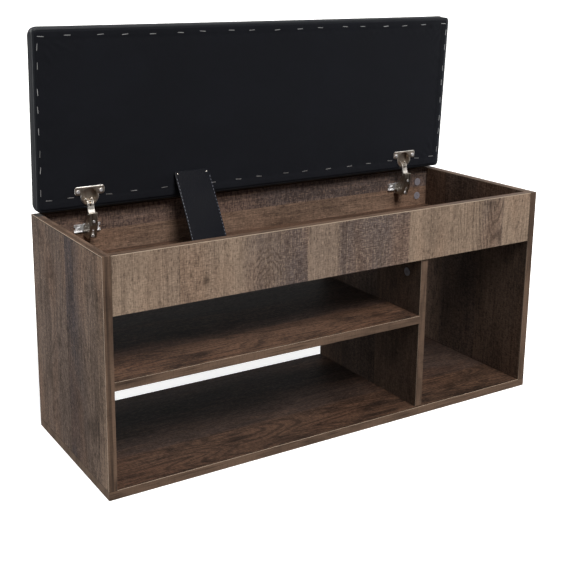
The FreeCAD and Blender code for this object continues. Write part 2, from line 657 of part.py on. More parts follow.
def stay_strap():
    """The strap from the compartment floor up to the open lid's underside."""
    gap = 0.3
    top = opened_point((BACK - STRAP_TOP_S, LID_Z - gap))
    foot = (STRAP_FOOT_Y, FLOOR_TOP + gap)
    rise = math.atan2(top[1] - foot[1], top[0] - foot[0])
    half_level = STRAP_THICKNESS / 2 / math.sin(rise)
    lean = math.radians(OPEN_LEAN)
    half_plumb = STRAP_THICKNESS / 2 / math.sin(math.pi / 2 + lean - rise)
    upper = (top[0] - half_plumb * math.sin(lean), top[1] + half_plumb * math.cos(lean))
    lower = (top[0] + half_plumb * math.sin(lean), top[1] - half_plumb * math.cos(lean))
    outline = [(foot[0] - half_level, foot[1]), upper, lower, (foot[0] + half_level, foot[1])]
    return side_plate(outline, STRAP_X)


def strap_screw_x():
    return STRAP_X[0] + 20.0, STRAP_X[1] - 20.0


def strap_screw_y():
    return STRAP_FOOT_Y + 16.0


def strap_foot():
    """The strap's sewn foot tab on the floor, and its two screws."""
    tab_y = (STRAP_FOOT_Y + 3.3, STRAP_FOOT_Y + 28.0)
    tab = box(STRAP_X, tab_y, (FLOOR_TOP, FLOOR_TOP + STRAP_THICKNESS))
    screws = []
    for x in strap_screw_x():
        at = (x, strap_screw_y(), FLOOR_TOP + STRAP_THICKNESS)
        screws.append(pan_screw(at, Z * -1, 4.2, 1.8, SMALL_SCREW_RADIUS, STRAP_SCREW_LENGTH))
        tab = tab.cut(rod(at, Z * -1, 4.0, SMALL_SCREW_RADIUS + FIT / 2))
    return tab, screws


def export_strap():
    tab, screws = strap_foot()
    export("stay_strap", stay_strap())
    export("strap_foot_tab", tab)
    export("strap_screws", *screws)


os.makedirs("parts", exist_ok=True)
export_cabinet()
export_lid()
export_hinges()
export_strap()
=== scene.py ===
"""Flip-top shoe bench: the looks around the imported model. Metres, +Z up, front towards -Y."""

import math

import bmesh
import bpy
import numpy as np
from mathutils import Matrix, Vector


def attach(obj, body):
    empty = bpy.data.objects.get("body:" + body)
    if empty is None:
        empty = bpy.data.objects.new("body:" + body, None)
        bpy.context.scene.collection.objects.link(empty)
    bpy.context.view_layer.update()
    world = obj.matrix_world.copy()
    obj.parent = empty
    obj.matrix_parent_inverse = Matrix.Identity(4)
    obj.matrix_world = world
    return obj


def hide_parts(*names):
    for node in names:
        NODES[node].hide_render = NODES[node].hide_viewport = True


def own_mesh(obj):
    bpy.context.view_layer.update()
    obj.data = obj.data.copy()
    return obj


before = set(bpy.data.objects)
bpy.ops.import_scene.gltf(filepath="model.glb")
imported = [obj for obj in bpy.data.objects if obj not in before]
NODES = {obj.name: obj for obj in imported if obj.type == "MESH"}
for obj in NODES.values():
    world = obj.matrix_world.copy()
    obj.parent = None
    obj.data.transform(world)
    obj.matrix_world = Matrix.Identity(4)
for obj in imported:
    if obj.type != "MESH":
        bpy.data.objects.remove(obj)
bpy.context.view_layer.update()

AXIS = {"x": 0, "y": 1, "z": 2}

# The lid is drawn shut and swung up about this line to where it stands open.
POLE = Vector((0.0, 0.1593504, 0.4655530))
LID_TURN = math.radians(-87.5)
OPENED = Matrix.Translation(POLE) @ Matrix.Rotation(LID_TURN, 4, "X") @ Matrix.Translation(-POLE)

# The shut lid: its underside's height, half its size and its plan corners' radius.
LID_Z = 0.4445
LID_HALF_X = 0.5
LID_HALF_Y = 0.175
LID_CORNER = 0.009

# The hinge cups' centres, and the middle and half size of each cup's flange.
CUP_X = 0.393
CUP_Y = LID_HALF_Y - 0.0245
FLANGE_Y = LID_HALF_Y - 0.0355
FLANGE_HALF_X = 0.031
FLANGE_HALF_Y = 0.0085
FLANGE_RING = 0.019

# The seat pad starts this much inside the lid's outline, and its cover is this far off the board.
PAD_INSET = 0.0012
PAD_LIFT = 0.0006

# The underside lining: margin to the lid's edge, mesh step, corner radius, hole round each cup.
LINING_MARGIN = 0.0052
LINING_STEP = 0.003
LINING_CORNER = 0.006
LINING_HOLE = 0.0178
LINING_THICK = 0.0005

# The stay strap, from the compartment floor up to the lid.
FLOOR_TOP = 0.352
STRAP_X = (-0.210, -0.130)
STRAP_FOOT_Y = 0.047
STRAP_THICK = 0.0023
STRAP_BOW = 0.0012
STRAP_FROM_REAR = 0.055


# ---- camera, light and floor

EYE = (-1.1011, -1.6394, 0.8948)
YAW, PITCH, ROLL = math.radians(-30.554), math.radians(-13.088), math.radians(0.098)
LENS = {"sensor_width": 36.0, "lens": 62.66, "shift_x": 0.0789, "shift_y": -0.1404,
        "clip_start": 0.05, "clip_end": 60.0}
WHITE = (1.0, 1.0, 1.0)


def set_all(thing, settings):
    for key, value in settings.items():
        setattr(thing, key, value)
    return thing


def put(socket, value):
    """Gives a node's input a value, or links it to another node's output."""
    if isinstance(value, bpy.types.NodeSocket):
        socket.id_data.links.new(value, socket)
    else:
        socket.default_value = value


def add(name, data):
    """A new object in the scene."""
    thing = bpy.data.objects.new(name, data)
    bpy.context.scene.collection.objects.link(thing)
    return thing


def camera():
    """The eye stands to the front left, a little above the open lid's top edge."""
    ahead = Vector((math.sin(-YAW) * math.cos(PITCH), math.cos(YAW) * math.cos(PITCH), math.sin(PITCH)))
    level = Vector((math.cos(YAW), math.sin(YAW), 0.0))
    above = level.cross(ahead)
    right = level * math.cos(ROLL) + above * math.sin(ROLL)
    up = above * math.cos(ROLL) - level * math.sin(ROLL)
    thing = add("camera", set_all(bpy.data.cameras.new("camera"), LENS))
    turn = Matrix((right, up, -ahead)).transposed().to_4x4()
    thing.matrix_world = Matrix.Translation(EYE) @ turn
    bpy.context.scene.camera = thing


def light(name, kind, place, target, **settings):
    thing = add(name, set_all(bpy.data.lights.new(name, kind), settings))
    thing.location = place
    thing.rotation_euler = (Vector(target) - thing.location).to_track_quat("-Z", "Y").to_euler()


def sun(name, azimuth, elevation, strength, spread, colour=WHITE):
    """Even light from far off; azimuth 0 is straight in front and 90 is the bench's right."""
    turn, lift = math.radians(azimuth), math.radians(elevation)
    flat = 3 * math.cos(lift)
    place = (flat * math.sin(turn), -flat * math.cos(turn), 3 * math.sin(lift))
    light(name, "SUN", place, (0.0, 0.0, 0.0), energy=strength, angle=math.radians(spread), color=colour)


def studio():
    """Three suns, two soft boxes, and a world that is seen white but lights less than it shows."""
    sun("key", -2.0, 50.0, 3.8, 26.0, (1.0, 0.985, 0.965))
    sun("above", 180.0, 80.0, 1.1, 25.0)
    sun("rear", 182.0, 6.0, 0.9, 15.0)
    box = {"shape": "RECTANGLE", "size": 1.5}
    light("left", "AREA", (-2.6, 0.45, 0.34), (0.0, 0.1, 0.26), energy=34.0, size_y=0.5, **box)
    light("right", "AREA", (2.6, -0.3, 0.9), (0.0, 0.0, 0.24), energy=22.0, size_y=0.8, **box)
    world = bpy.data.worlds.new("studio")
    bpy.context.scene.world = world
    world.use_nodes = True
    tree = world.node_tree
    back = tree.nodes["Background"]
    put(back.inputs["Color"], (*WHITE, 1.0))
    path = tree.nodes.new("ShaderNodeLightPath")
    strength = 1.0
    for ray, value in (("Is Diffuse Ray", 0.1), ("Is Glossy Ray", 0.4)):
        dim = tree.nodes.new("ShaderNodeMapRange")
        put(dim.inputs["Value"], path.outputs[ray])
        put(dim.inputs["To Min"], strength)
        put(dim.inputs["To Max"], value)
        strength = dim.outputs["Result"]
    put(back.inputs["Strength"], strength)
    bpy.context.scene.view_settings.view_transform = "Standard"
    bpy.context.scene.view_settings.look = "None"


def floor():
    """White paper to the camera, and mid-grey to every other ray."""
    grid = bmesh.new()
    bmesh.ops.create_grid(grid, x_segments=1, y_segments=1, size=40.0)
    mesh = mesh_from("studio_floor", grid)
    graph = Graph("studio_paper", Roughness=0.9, Specular_IOR_Level=0.1, Emission_Color=(*WHITE, 1.0))
    speck = graph.noise(graph.place, even(40.0), 2.0)
    paper = graph.mix(speck, srgb(246, 246, 246), srgb(250, 250, 250))
    seen = graph.node("ShaderNodeLightPath").outputs["Is Camera Ray"]
    put(graph.shader.inputs["Emission Strength"], graph.product(seen, 0.4))
    mesh.materials.append(graph.finish(graph.mix(seen, srgb(100, 100, 100), paper)))
    thing = add("studio_floor", mesh)
    thing.location.z = -0.0004


# ---- material building


def srgb(red, green, blue):
    """A display colour, 0 to 255, as a linear one."""
    values = [value / 255.0 for value in (red, green, blue)]
    return [v / 12.92 if v <= 0.04045 else ((v + 0.055) / 1.055) ** 2.4 for v in values] + [1.0]


def times(colour, share):
    """A lighter or darker colour, no part of it above 1."""
    return [min(1.0, value * share) for value in colour[:3]] + [1.0]


def scaled(tones, *shares):
    return [times(tone, share) for tone, share in zip(tones, shares)]


def even(size):
    """The same stretch all ways."""
    return (size, size, size)


class Graph:
    """One procedural material, built node by node around a Principled shader.

    Its methods add a node and return the output; a value may be a number or another output.
    """

    def __init__(self, name, **sockets):
        self.material = bpy.data.materials.new(name)
        self.material.use_nodes = True
        self.tree = self.material.node_tree
        self.tree.nodes.clear()
        self.shader = self.node("ShaderNodeBsdfPrincipled")
        self.node("ShaderNodeOutputMaterial", {"Surface": self.shader.outputs[0]})
        self.place = self.node("ShaderNodeTexCoord").outputs["Object"]
        for name_, value in sockets.items():
            put(self.shader.inputs[name_.replace("_", " ")], value)

    def node(self, kind, inputs=None, **settings):
        made = set_all(self.tree.nodes.new(kind), settings)
        for key, value in (inputs or {}).items():
            put(made.inputs[key], value)
        return made

    def math(self, operation, *values):
        made = self.node("ShaderNodeMath", operation=operation)
        for socket, value in zip(made.inputs, values):
            put(socket, value)
        return made.outputs[0]

    def plus(self, first, second):
        return self.math("ADD", first, second)

    def minus(self, first, second):
        return self.math("SUBTRACT", first, second)

    def product(self, first, second):
        return self.math("MULTIPLY", first, second)

    def off(self, value, at):
        """Distance of a value from a place on its axis."""
        return self.math("ABSOLUTE", self.minus(value, at))

    def reach(self, across, up):
        """Length of a vector in the plane."""
        squares = self.plus(self.product(across, across), self.product(up, up))
        return self.math("SQRT", squares)

    def split(self, vector):
        return self.node("ShaderNodeSeparateXYZ", {"Vector": vector}).outputs

    def noise(self, at, stretch, detail=3.0, roughness=0.55, offset=(0.0, 0.0, 0.0)):
        mapped = self.node("ShaderNodeMapping", {"Vector": at, "Scale": stretch, "Location": offset})
        inputs = {"Vector": mapped.outputs[0], "Scale": 1.0, "Detail": detail, "Roughness": roughness}
        return self.node("ShaderNodeTexNoise", inputs).outputs[0]

    def cells(self, at, stretch, feature="F1"):
        mapped = self.node("ShaderNodeMapping", {"Vector": at, "Scale": stretch})
        inputs = {"Vector": mapped.outputs[0], "Scale": 1.0}
        return self.node("ShaderNodeTexVoronoi", inputs, feature=feature).outputs["Distance"]

    def smooth(self, value, low, high, first=0.0, last=1.0):
        """From first to last, smoothly, as the value goes from low to high."""
        inputs = {"Value": value, "From Min": low, "From Max": high, "To Min": first, "To Max": last}
        made = self.node("ShaderNodeMapRange", inputs, interpolation_type="SMOOTHSTEP")
        return made.outputs["Result"]

    def mix(self, share, first, second):
        made = self.node("ShaderNodeMix", data_type="RGBA", blend_type="MIX")
        put(made.inputs[0], share)
        put(made.inputs[6], first)
        put(made.inputs[7], second)
        return made.outputs[2]

    def blend(self, first, second, value, low, high, share=1.0):
        """The first colour, with the second laid over it as the value goes from low to high."""
        return self.mix(self.smooth(value, low, high, 0.0, share), first, second)

    def ramp(self, value, stops):
        """Red, green and blue of a colour ramp, as three separate values."""
        made = self.node("ShaderNodeValToRGB", {"Fac": value})
        elements = made.color_ramp.elements
        elements.remove(elements[1])
        for index, (position, values) in enumerate(stops):
            element = elements[0] if index == 0 else elements.new(position)
            element.position = position
            element.color = (*values, 1.0)
        return self.node("ShaderNodeSeparateColor", {"Color": made.outputs["Color"]}).outputs

    def finish(self, colour, roughness=None, height=None, strength=0.3, distance=0.0005):
        """Links what is given to the shader, and returns the material."""
        put(self.shader.inputs["Base Color"], colour)
        if roughness is not None:
            put(self.shader.inputs["Roughness"], roughness)
        if height is not None:
            inputs = {"Height": height, "Strength": strength, "Distance": distance}
            put(self.shader.inputs["Normal"], self.node("ShaderNodeBump", inputs).outputs[0])
        return self.material


def plank_values(graph, over, span, planks):
    """Tone, weave and figure of the plank at a place; each plank is (start, blend width, values)."""
    width = span[1] - span[0]
    stops = [(0.0, planks[0][2])]
    for (_, _, before), (start, soft, values) in zip(planks, planks[1:]):
        middle = (start - span[0]) / width
        half = max(soft, 0.0006) / width / 2
        stops += [(middle - half, before), (middle + half, values)]
    share = graph.math("DIVIDE", graph.minus(over, span[0]), width)
    return graph.ramp(share, stops)[:3]


def print_coordinates(graph, along, across, starts=()):
    """(across, along, through) as one vector, with each plank's grain taken from its own place."""
    parts = graph.split(graph.place)
    through = parts[3 - AXIS[along] - AXIS[across]]
    run = parts[AXIS[along]]
    for start in starts:
        passed = graph.math("GREATER_THAN", parts[AXIS[across]], start)
        run = graph.math("MULTIPLY_ADD", passed, 1.37, run)
    inputs = {"X": parts[AXIS[across]], "Y": run, "Z": through}
    return graph.node("ShaderNodeCombineXYZ", inputs).outputs[0]


def spot(graph, over, up, place, size, wobble):
    """1 in the middle of a dark mark or a patch of painted shade, and 0 outside it."""
    u = graph.math("DIVIDE", graph.minus(over, place[0]), size[0])
    v = graph.math("DIVIDE", graph.minus(up, place[1]), size[1])
    reach = graph.plus(graph.reach(u, v), graph.product(wobble, 1.8))
    return graph.smooth(reach, 2.1, 0.7)


def arches(graph, over, up, heart, wobble):
    """The arched rings of a board cut across its heart; heart is (across, up, radius)."""
    u = graph.product(graph.minus(over, heart[0]), 1.5)
    v = graph.minus(up, heart[1])
    reach = graph.reach(u, v)
    rings = graph.math("SINE", graph.product(graph.math("MULTIPLY_ADD", wobble, 0.05, reach), 560.0))
    fade = graph.smooth(reach, heart[2], heart[2] * 0.6)
    return graph.product(graph.smooth(rings, -0.1, 0.95), fade)


def joint_line(graph, axis, at):
    """Strength of the dark hairline where this board meets the next, at a place on an axis."""
    off = graph.off(graph.split(graph.place)[AXIS[axis]], at)
    return graph.smooth(off, 0.0013, 0.0005, 0.0, 0.75)


# ---- materials

# Noises of the wood print: (stretch across, along and through the board), detail, roughness, offset
PRINT_NOISES = {
    "blotch": ((13, 5, 9), 4, 0.62),
    "cloud": ((34, 13, 24), 4, 0.65, (3, 1, 0)),
    "streak": ((90, 3, 60), 3, 0.6),
    "rings": ((12, 2, 8), 1.5, 0.45, (0, 5, 2)),
    "dashes": ((520, 120, 520), 2, 0.65),
    "pores": ((300, 70, 300), 3, 0.7, (7, 3, 5)),
    "fibres": ((430, 7, 430), 2, 0.5),
    "ticks": ((110, 440, 110), 2, 0.6),
    "hue": ((10, 3, 8), 2, 0.5, (1, 8, 4)),
}
BOARD_END_X = 0.4992


def wood(name, along, across, span, planks, tones, marks, contrast, joints=(), arch=None, end_tone=None):
    """Saw-cut wood print: planks with fibres, dashes, saw ticks, rings, dark marks and patches of painted
    shade.

    tones are the pale, grey and dark colour; marks are (place, size, depth) with the place and
    size across and along; joints are (axis, place) of the hairlines where another board meets.
    """
    pale, grey, dark = tones
    graph = Graph(name, Specular_IOR_Level=0.06)
    smooth, product = graph.smooth, graph.product
    parts = graph.split(graph.place)
    over, up = parts[AXIS[across]], parts[AXIS[along]]
    tone, weave, figure = plank_values(graph, over, span, planks)
    hard_starts = [start for start, soft, _ in planks[1:] if soft == 0]
    at = print_coordinates(graph, along, across, hard_starts)
    noises = [graph.noise(at, *values) for values in PRINT_NOISES.values()]
    blotch, cloud, streak, rings, dashes, pores, fibres, ticks, hue = noises

    saw_shade = [dark[0] * 1.05, dark[1] * 1.08, dark[2] * 1.25, 1.0]
    warm = [pale[0] * 0.86, pale[1] * 0.7, pale[2] * 0.62, 1.0]
    colour = graph.mix(tone, grey, pale)
    colour = graph.blend(colour, warm, hue, 0.45, 0.65, 0.4)
    ring_lines = smooth(graph.math("SINE", product(rings, 170.0)), 0.1, 0.95)
    rough_sawn = graph.math("MULTIPLY_ADD", weave, 0.15, 0.55)
    saw_depth = graph.math("MULTIPLY_ADD", weave, 0.52, 0.18)

    # each (share, shade) is laid over the ones before it
    shades = [(smooth(blotch, 0.47, 0.7, 0.0, 0.62 * contrast), dark),
              (smooth(cloud, 0.5, 0.72, 0.0, 0.5 * contrast), dark),
              (smooth(streak, 0.5, 0.72, 0.0, 0.5 * contrast), dark),
              (smooth(blotch, 0.42, 0.28, 0.0, 0.4), times(pale, 1.22)),
              (smooth(streak, 0.4, 0.28, 0.0, 0.35), times(pale, 1.3)),
              (product(ring_lines, product(figure, 0.75)), dark)]
    if arch is not None:
        shades.append((product(arches(graph, over, up, arch, cloud), 0.6), dark))
    shades += [(smooth(fibres, 0.5, 0.72, 0.0, 0.5 * contrast), dark),
               (smooth(fibres, 0.46, 0.3, 0.0, 0.35), times(pale, 1.3)),
               (product(smooth(dashes, 0.53, 0.68), rough_sawn), times(dark, 0.8)),
               (product(smooth(pores, 0.62, 0.75), rough_sawn), times(dark, 0.7)),
               (smooth(dashes, 0.44, 0.3, 0.0, 0.5), times(pale, 1.35)),
               (product(smooth(ticks, 0.44, 0.66), saw_depth), saw_shade),
               (product(smooth(ticks, 0.42, 0.3), 0.3), times(pale, 1.2))]
    # marks draw dark knots and stains, and also the large patches of painted shade
    for place, size, depth in marks:
        shades.append((product(spot(graph, over, up, place, size, cloud), depth), times(dark, 0.35)))
    for axis, place in joints:
        shades.append((joint_line(graph, axis, place), times(dark, 0.3)))
    for share, shade in shades:
        colour = graph.mix(share, colour, shade)
    if end_tone is not None:
        end = graph.math("GREATER_THAN", graph.math("ABSOLUTE", parts[0]), BOARD_END_X)
        end_colour = graph.blend(end_tone, times(end_tone, 0.6), cloud, 0.4, 0.7)
        colour = graph.mix(end, colour, end_colour)
    height = graph.plus(product(dashes, 0.8), product(ticks, 0.6))
    return graph.finish(colour, smooth(dashes, 0.3, 0.7, 0.48, 0.62), height, 0.3, 0.0004)


def edge_band(name, along, across, pale, dark, core_axes="", streak_at=None, gloss=0.12, joints=()):
    """Edge band with the same print; its 1 mm cut edge shows a paler core on the faces named."""
    graph = Graph(name, Specular_IOR_Level=gloss)
    at = print_coordinates(graph, along, across)
    fibres = graph.noise(at, (420.0, 14.0, 420.0), 3.0, 0.55)
    cloud = graph.noise(at, (30.0, 7.0, 30.0), 4.0, 0.6)
    ticks = graph.noise(at, (80.0, 420.0, 80.0), 2.0, 0.6)
    colour = graph.blend(pale, dark, cloud, 0.42, 0.7, 0.6)
    colour = graph.blend(colour, dark, fibres, 0.5, 0.72, 0.6)
    colour = graph.blend(colour, dark, ticks, 0.5, 0.7, 0.25)
    if streak_at is not None:
        off = graph.off(graph.split(graph.place)[AXIS[across]], streak_at)
        off = graph.plus(off, graph.product(cloud, 0.004))
        colour = graph.blend(colour, dark, off, 0.006, 0.003, 0.5)
    normal = graph.split(graph.node("ShaderNodeNewGeometry").outputs["Normal"])
    core = 0.0
    for axis in core_axes:
        core = graph.math("MAXIMUM", core, graph.math("ABSOLUTE", normal[AXIS[axis]]))
    colour = graph.blend(colour, srgb(196, 178, 158), core, 0.7, 0.9)
    for axis, place in joints:
        colour = graph.mix(joint_line(graph, axis, place), colour, times(dark, 0.3))
    return graph.finish(colour, graph.smooth(fibres, 0.3, 0.7, 0.34, 0.48), fibres, 0.12, 0.0003)


def leatherette(name, shade, rough, gloss):
    """Embossed black leatherette: small pebbled grain over soft creases."""
    graph = Graph(name, Specular_IOR_Level=gloss)
    pebbles = graph.cells(graph.place, even(900.0))
    creases = graph.cells(graph.place, even(330.0), "SMOOTH_F1")
    cloud = graph.noise(graph.place, even(14.0), 3.0)
    colour = graph.blend(times(shade, 1.5), shade, pebbles, 0.2, 0.9)
    colour = graph.blend(colour, times(shade, 0.6), cloud, 0.35, 0.7, 0.35)
    height = graph.plus(graph.product(pebbles, 0.6), graph.product(creases, 0.9))
    roughness = graph.smooth(cloud, 0.3, 0.7, rough - 0.06, rough + 0.08)
    return graph.finish(colour, roughness, height, 0.35, 0.0006)


def backing_cloth(name, shade):
    """Matt woven backing cloth: warp and weft threads about 0.9 mm apart."""
    graph = Graph(name, Specular_IOR_Level=0.08, Sheen_Weight=0.1, Sheen_Roughness=0.45,
                  Sheen_Tint=srgb(150, 160, 185))
    parts = graph.split(graph.place)
    wobble = graph.noise(graph.place, even(60.0), 2.0)
    threads = []
    for axis in (0, 1):
        turn = graph.plus(graph.product(parts[axis], 7000.0), graph.product(wobble, 3.0))
        threads.append(graph.math("SINE", turn))
    weave = graph.product(threads[0], threads[1])
    cloud = graph.noise(graph.place, (5.0, 7.0, 5.0), 4.0, 0.6)
    lint = graph.noise(graph.place, even(900.0), 2.0, 0.6)
    pale = times(shade, 1.7)
    colour = graph.blend(shade, pale, weave, -0.6, 0.9, 0.6)
    colour = graph.blend(colour, pale, cloud, 0.4, 0.7, 0.6)
    colour = graph.blend(colour, srgb(70, 72, 78), lint, 0.66, 0.78, 0.5)
    return graph.finish(colour, graph.smooth(cloud, 0.3, 0.7, 0.72, 0.88), weave, 0.3, 0.0002)


def flange_roll(graph):
    """How far a hinge flange's rolled edge has fallen back at a place, 0 to 1; it shapes the rim's bump and
    places the painted highlight along it.
    """
    shut = OPENED.inverted()[1]
    parts = graph.split(graph.place)
    back = graph.math("MULTIPLY_ADD", parts[2], shut[2], shut[3])
    back = graph.math("MULTIPLY_ADD", parts[1], shut[1], back)
    across = graph.off(graph.math("ABSOLUTE", parts[0]), CUP_X)
    end = graph.minus(across, FLANGE_HALF_X)
    side = graph.minus(graph.off(back, FLANGE_Y), FLANGE_HALF_Y)
    down = graph.minus(back, CUP_Y)
    ring = graph.minus(graph.reach(across, down), FLANGE_RING)
    inside = graph.math("MINIMUM", graph.math("MAXIMUM", end, side), ring)
    return graph.smooth(inside, -0.0018, 0.0004)


def metal(name, colour, rough, rolled_and_highlit=False):
    """Plated steel with faint drawing marks and smudges; on the cups, a rolled flange edge, bumped in and
    painted near white as a painted highlight.
    """
    graph = Graph(name, Metallic=1.0)
    marks = graph.noise(graph.place, (300.0, 300.0, 60.0), 2.0, 0.5)
    smudge = graph.noise(graph.place, even(45.0), 3.0, 0.6)
    tint = graph.blend((*colour, 1.0), times(colour, 0.72), smudge, 0.35, 0.7, 0.6)
    drawn = graph.smooth(marks, 0.3, 0.7, rough * 0.7, rough * 1.25)
    roughness = graph.plus(drawn, graph.product(smudge, 0.06))
    if not rolled_and_highlit:
        return graph.finish(tint, roughness, marks, 0.06, 0.0002)
    roll_and_highlight = flange_roll(graph)
    # painted highlight: the rolled rim is painted near white, standing in for the light it catches
    tint = graph.mix(roll_and_highlight, tint, (1.0, 0.97, 0.93, 1.0))
    return graph.finish(tint, roughness, graph.product(roll_and_highlight, -1.0), 1.0, 0.0014)


def moulded(name, colour, rough):
    """Plain moulded plastic; it serves for the sewing thread too."""
    graph = Graph(name, Specular_IOR_Level=0.5)
    grain = graph.noise(graph.place, even(1500.0), 2.0)
    cloud = graph.noise(graph.place, even(120.0), 2.0)
    tint = graph.blend(colour, times(colour, 0.75), cloud, 0.35, 0.7, 0.5)
    return graph.finish(tint, rough, grain, 0.15, 0.0002)


def chips(name):
    """Raw particle board: pale and brown flakes."""
    graph = Graph(name, Roughness=0.85, Specular_IOR_Level=0.2)
    flakes = graph.cells(graph.place, (420.0, 420.0, 700.0))
    tone = graph.noise(graph.place, (500.0, 500.0, 900.0), 2.0)
    colour = graph.blend(srgb(150, 118, 84), srgb(205, 176, 134), tone, 0.35, 0.65)
    colour = graph.blend(colour, srgb(96, 70, 46), flakes, 0.5, 0.9, 0.6)
    return graph.finish(colour, None, flakes, 0.4, 0.0005)


# ---- colours and tables

PALE = srgb(154, 134, 116)
GREY = srgb(100, 90, 88)
DARK = srgb(66, 53, 46)
MID_PALE = srgb(108, 88, 74)
MID_GREY = srgb(80, 71, 69)
MID_DARK = srgb(40, 32, 28)
RED_BROWN = srgb(106, 80, 64)

# (start, blend width, (tone, weave, figure)) across each panel; tone 1 is pale, 0 grey
APRON_PLANKS = [(-0.484, 0, (0.95, 0.12, 0)), (-0.397, 0.004, (0.84, 0.2, 0.1)),
                (-0.356, 0, (0.86, 0.45, 0.3)), (-0.285, 0.02, (0.9, 0.15, 0.1)),
                (-0.222, 0.03, (0.36, 0.15, 0.1)), (-0.140, 0.03, (0.05, 0.9, 0)),
                (-0.088, 0, (0.66, 0.2, 0)), (-0.016, 0.012, (0.12, 1.0, 0)),
                (0.154, 0, (0.97, 0.1, 0.1)), (0.267, 0, (1.0, 0.1, 0.6)),
                (0.348, 0.018, (0.45, 0.3, 0.8)), (0.405, 0, (1.0, 0.12, 0.3))]
SIDE_PLANKS = [(-0.175, 0, (1.0, 0.2, 0.3)), (-0.164, 0.004, (0.95, 0.2, 0.3)),
               (-0.145, 0.03, (0.6, 0.3, 0.6)), (-0.085, 0.03, (0.3, 0.4, 0.3)),
               (-0.05, 0.02, (0, 0.35, 0.1)), (0, 0, (0.42, 0.3, 0.5)),
               (0.11, 0.03, (0.5, 0.3, 0.2))]
WALL_PLANKS = [(-0.175, 0, (0.8, 0.4, 0.2)), (-0.03, 0, (0.45, 0.7, 0.1)), (0.09, 0, (0.75, 0.3, 0.4))]
RAIL_PLANKS = [(0.336, 0, (0.9, 0.05, 0.3)), (0.397, 0, (0.05, 1.0, 0))]
FLOOR_PLANKS = [(-0.175, 0, (0.95, 0.15, 0.9)), (-0.07, 0, (0.6, 0.3, 0.6)), (0.05, 0, (0.8, 0.2, 0.8))]
LEVEL_PLANKS = [(-0.175, 0, (0.95, 0.3, 0.8)), (-0.07, 0.01, (0.3, 0.3, 0.4)), (0.05, 0, (0.1, 0.2, 0.4))]

# ((across, along), (half width, half length), depth) of each board's dark marks, and of its large patches of
# painted shade
APRON_MARKS = [((-0.305, 0.372), (0.007, 0.012), 0.6), ((-0.335, 0.385), (0.003, 0.006), 0.6),
               ((-0.325, 0.405), (0.006, 0.008), 0.3), ((-0.185, 0.428), (0.03, 0.007), 0.35),
               ((0.365, 0.432), (0.03, 0.006), 0.45)]
SIDE_MARKS = [((0.045, 0.23), (0.014, 0.022), 0.5), ((-0.022, 0.33), (0.016, 0.06), 0.45),
              ((-0.11, 0.11), (0.025, 0.04), 0.5), ((0.1, 0.13), (0.016, 0.03), 0.3),
              ((-0.05, 0.12), (0.16, 0.16), 0.3)]
RAIL_MARKS = [((0.35, 0.05), (0.01, 0.04), 0.5)]
WALL_MARKS = [((0.02, 0.2), (0.02, 0.04), 0.4)]
# the divider's second mark is painted shade over its rear lower part, inside the cubbies
UPRIGHT_MARKS_AND_SHADE = [((-0.1, 0.1), (0.02, 0.03), 0.4), ((0.12, 0.08), (0.22, 0.25), 0.6)]
FLOOR_MARKS = [((-0.13, -0.3), (0.012, 0.03), 0.5), ((-0.12, 0.12), (0.014, 0.03), 0.6)]
# painted shade: one large dark patch over the rear of the base and the shelf, where the cubbies lie in shade
PAINTED_REAR_SHADE = [((0.12, -0.15), (0.2, 0.9), 0.65)]
BASE_MARKS_AND_SHADE = [((-0.11, -0.2), (0.016, 0.035), 0.6), ((-0.12, 0.1), (0.012, 0.03), 0.6),
              ((-0.125, 0.33), (0.012, 0.025), 0.7)] + PAINTED_REAR_SHADE
LEVEL_MARKS_AND_SHADE = FLOOR_MARKS + PAINTED_REAR_SHADE

APRON_ARCH = (-0.179, 0.352, 0.078)
APRON_SPAN = (-0.484, 0.484)
DEEP = (-0.175, 0.175)
TALL = (0.336, 0.442)
ON_BASE = [("z", 0.016)]
UNDER_RIM = [("z", 0.4405)]

# look: (material name, colour, roughness)
METALS = {
    "nickel": ("bright_nickel", (0.7, 0.66, 0.6), 0.24),
    "cup": ("cup_nickel_painted_rim", (0.46, 0.4, 0.34), 0.36),
    "link": ("link_nickel", (0.64, 0.6, 0.55), 0.42),
    "arm": ("arm_nickel", (0.34, 0.31, 0.26), 0.3),
    "plate": ("plate_zinc", (0.95, 0.95, 0.96), 0.56),
    "screw": ("screw_zinc", (0.85, 0.85, 0.86), 0.45),
    "wire": ("staple_wire", (0.8, 0.8, 0.8), 0.45),
    "zinc": ("zinc_plate", (0.58, 0.6, 0.62), 0.32),
}

# look: the CAD nodes that wear it; any other node is bright nickel
WORN_BY = {
    "apron": "apron_rail", "left_side": "left_side_panel", "right_side": "right_side_panel",
    "back_rail": "back_rail", "base": "base_panel", "level": "middle_shelf",
    "floor": "compartment_floor", "upright": "divider_panel",
    "band_left": "left_side_edge_bands", "band_front": "right_side_edge_bands divider_edge_band",
    "band_level": "base_edge_band shelf_edge_band", "band_top": "apron_top_band",
    "band_plain": "back_rail_top_band",
    "arm": "left_hinge_arm right_hinge_arm", "cup": "left_hinge_cup right_hinge_cup",
    "link": "left_outer_link right_outer_link left_inner_link right_inner_link",
    "plate": "left_mounting_plate right_mounting_plate",
    "screw": "arm_adjusting_screws mounting_plate_screws hinge_cup_screws",
    "cap": "cam_cover_caps", "zinc": "cam_lock_discs cam_bolts base_screws strap_screws",
    "beech": "joint_dowels", "chips": "lid_board", "wire": "lining_staples",
}
BOARDS = ("apron", "left_side", "right_side", "back_rail", "base", "level", "floor", "upright")

# width of each look's rounded arrises
BEVELS = {"nickel": 0.0002, "screw": 0.0002, "link": 0.0002, "arm": 0.0005, "plate": 0.0009, "cup": 0.0004}
BEVELS.update({board: 0.0004 for board in BOARDS})


